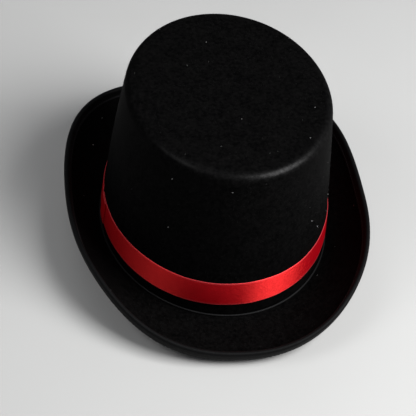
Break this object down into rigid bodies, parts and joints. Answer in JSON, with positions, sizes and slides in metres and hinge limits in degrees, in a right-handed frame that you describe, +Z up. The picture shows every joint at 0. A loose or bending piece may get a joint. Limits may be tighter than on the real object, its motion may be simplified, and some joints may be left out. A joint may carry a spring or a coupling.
{
  "type": "magician top hat",
  "caption": "Black felt magician's top hat: tall moulded crown with a flat tip, curled brim with a bound rim, red satin band, lined and with a sweatband.",
  "frame": {"origin": "on the surface the hat stands on, under the middle of the brim's bounding box", "axes": "+Z up the crown; -Y is the front of the hat, where the wearer looks; +X is the wearer's left, where the ribbon is joined"},
  "size_m": [0.2428, 0.3198, 0.1387],
  "materials": {
    "felt": "black wool felt with a brushed nap",
    "buckram": "stiffened open-weave buckram",
    "red_satin": "red double-faced satin ribbon",
    "black_satin": "black satin lining",
    "grosgrain": "black ribbed grosgrain",
    "sweat_leather": "dark brown-black sweatband leather",
    "wire_steel": "drawn steel"
  },
  "bodies": {
    "root": {"crown_felt": "felt", "crown_side_stiffener": "buckram", "crown_tip_stiffener": "buckram", "crown_stay_tape": "grosgrain", "crown_seam_cord": "grosgrain", "band_ribbon": "red_satin", "brim_top_felt": "felt", "brim_core": "buckram", "brim_under_felt": "felt", "brim_wire": "wire_steel", "brim_wire_joiner": "wire_steel", "brim_binding": "grosgrain", "lining_side": "black_satin", "lining_tip": "black_satin", "lining_piping": "black_satin", "sweatband": "sweat_leather", "sweatband_seam_tape": "grosgrain", "sweatband_reed": "grosgrain", "sweatband_reed_joiner": "wire_steel", "bow_knot": "black_satin", "bow_loop_left": "black_satin", "bow_loop_right": "black_satin", "bow_tail_left": "black_satin", "bow_tail_right": "black_satin"}
  },
  "joints": []
}
